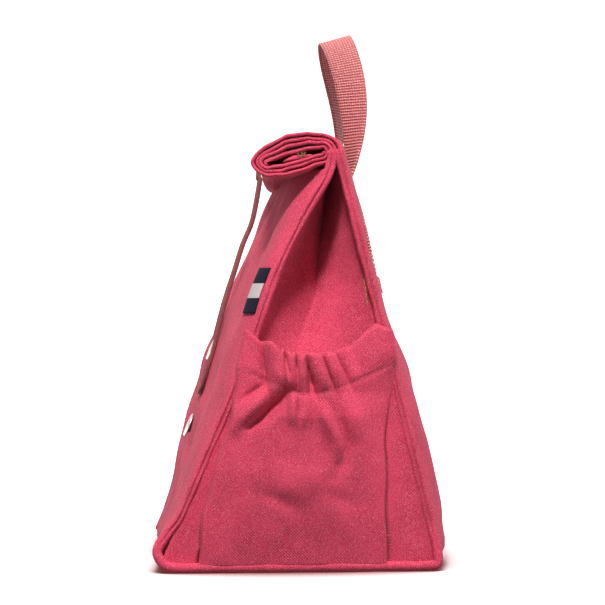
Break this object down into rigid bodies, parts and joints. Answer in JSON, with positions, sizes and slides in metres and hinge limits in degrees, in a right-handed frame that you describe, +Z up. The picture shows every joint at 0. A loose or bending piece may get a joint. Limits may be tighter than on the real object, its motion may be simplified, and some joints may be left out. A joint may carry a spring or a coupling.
{
  "type": "insulated lunch bag",
  "caption": "Roll-top canvas lunch bag with padded lining, gathered side pockets, a webbing carry handle and a cord loop that closes over metal buttons.",
  "frame": {"origin": "on the ground, below the middle of the bag's box", "axes": "+Z up, the front with the buttons faces -Y, +X is the side that carries the striped label, the width runs along X"},
  "size_m": [0.225, 0.1658, 0.303],
  "materials": {
    "canvas": "heathered cotton twill canvas, matt",
    "lining": "thin wipe-clean lining with a slight sheen",
    "foam": "soft closed-cell padding, matt",
    "webbing": "ribbed cotton webbing, matt",
    "cord": "round braided cord, matt",
    "nickel": "satin nickel plate",
    "ribbon": "woven striped ribbon",
    "elastic": "covered elastic band, matt"
  },
  "bodies": {
    "bag": {"front_panel": "canvas", "back_panel": "canvas", "base_panel": "canvas", "right_side_gusset": "canvas", "left_side_gusset": "canvas", "right_seam_ridge": "canvas", "left_seam_ridge": "canvas", "right_side_pocket": "canvas", "left_side_pocket": "canvas", "front_foam": "foam", "back_foam": "foam", "base_foam": "foam", "right_side_foam": "foam", "left_side_foam": "foam", "front_lining": "lining", "back_lining": "lining", "base_lining": "lining", "right_side_lining": "lining", "left_side_lining": "lining", "right_pocket_elastic": "elastic", "left_pocket_elastic": "elastic", "right_handle_end": "webbing", "left_handle_end": "webbing", "cord_tab": "webbing", "upper_button": "nickel", "lower_button": "nickel", "upper_button_washer": "nickel", "lower_button_washer": "nickel", "striped_label": "ribbon"},
    "roll": {"roll_back_canvas": "canvas", "roll_lining": "lining", "roll_front_canvas": "canvas"},
    "cord": {"closure_cord": "cord"},
    "handle": {"handle_webbing": "webbing"}
  },
  "joints": [
    {"name": "roll_lift", "type": "hinge", "parent": "bag", "child": "roll", "pos_m": [0, 0.03, 0.232], "axis": [-1, 0, 0], "range_deg": [0, 18]},
    {"name": "cord_flip", "type": "hinge", "parent": "roll", "child": "cord", "pos_m": [0, 0.0334, 0.2196], "axis": [-1, 0, 0], "range_deg": [0, 70]},
    {"name": "handle_swing", "type": "hinge", "parent": "bag", "child": "handle", "pos_m": [0, 0.0322, 0.2189], "axis": [-1, 0, 0], "range_deg": [0, 120]}
  ]
}
